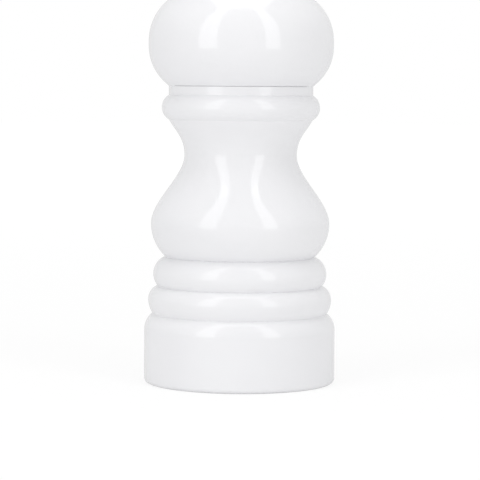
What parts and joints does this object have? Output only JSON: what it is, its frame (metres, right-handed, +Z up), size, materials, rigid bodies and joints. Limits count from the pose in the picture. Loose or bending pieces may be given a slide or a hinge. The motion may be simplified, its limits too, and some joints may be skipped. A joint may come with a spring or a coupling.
{
  "type": "pepper mill",
  "caption": "Turned, lacquered wooden pepper mill with a waisted body, a domed turning head, a ball knob that sets the grind and a steel burr grinder inside.",
  "frame": {"origin": "centre of the foot's underside, on the table", "axes": "+Z up along the mill's axis; +X along the bottom bar, towards one of its two screws"},
  "size_m": [0.05, 0.05, 0.12],
  "materials": {
    "white_lacquered_beech": "beech under several coats of gloss white lacquer, raw inside",
    "white_acetal": "machined white acetal",
    "zinc_plated_steel": "pressed steel, zinc plated",
    "hardened_steel": "case-hardened steel with milled teeth, lightly oiled",
    "bright_steel": "bright drawn steel",
    "spring_steel": "oil-tempered spring wire",
    "turned_brass": "turned brass",
    "polished_nickel": "steel, polished and nickel plated"
  },
  "bodies": {
    "mill_body": {"body_shell": "white_lacquered_beech", "neck_bearing": "white_acetal", "mechanism_housing": "zinc_plated_steel", "fixed_burr": "hardened_steel", "bearing_stirrup": "zinc_plated_steel", "bottom_bar": "zinc_plated_steel", "locating_pins": "hardened_steel", "bottom_bar_screws": "bright_steel"},
    "drive": {"guide_bush": "turned_brass", "burr_spring": "spring_steel"},
    "spindle": {"shaft": "bright_steel", "moving_burr": "hardened_steel", "burr_washer": "bright_steel", "retaining_clip": "spring_steel"},
    "head": {"head_shell": "white_lacquered_beech", "head_ferrule": "polished_nickel", "drive_plate": "zinc_plated_steel", "drive_plate_screws": "turned_brass"},
    "knob_seat": {"knob_washer": "white_acetal"},
    "knob_ball": {"knob": "polished_nickel", "knob_insert": "turned_brass"}
  },
  "joints": [
    {"name": "mill_turn", "type": "hinge", "parent": "mill_body", "child": "drive", "pos_m": [0, 0, 0.0222], "axis": [0, 0, 1], "continuous": true},
    {"name": "grind_set", "type": "slide", "parent": "drive", "child": "spindle", "axis": [0, 0, 1], "range_m": [-0.00075, 0.00075], "deforming": ["burr_spring"]},
    {"name": "head_lift", "type": "slide", "parent": "drive", "child": "head", "axis": [0, 0, 1], "range_m": [0, 0.06]},
    {"name": "knob_lift", "type": "slide", "parent": "head", "child": "knob_seat", "axis": [0, 0, 1], "range_m": [0, 0.025]},
    {"name": "knob_turn", "type": "hinge", "parent": "knob_seat", "child": "knob_ball", "pos_m": [0, 0, 0.1064], "axis": [0, 0, 1], "range_deg": [-270, 270]}
  ],
  "couplings": [
    {"joint": "knob_turn", "follows": "grind_set", "rad_per_m": -6283.2}
  ]
}
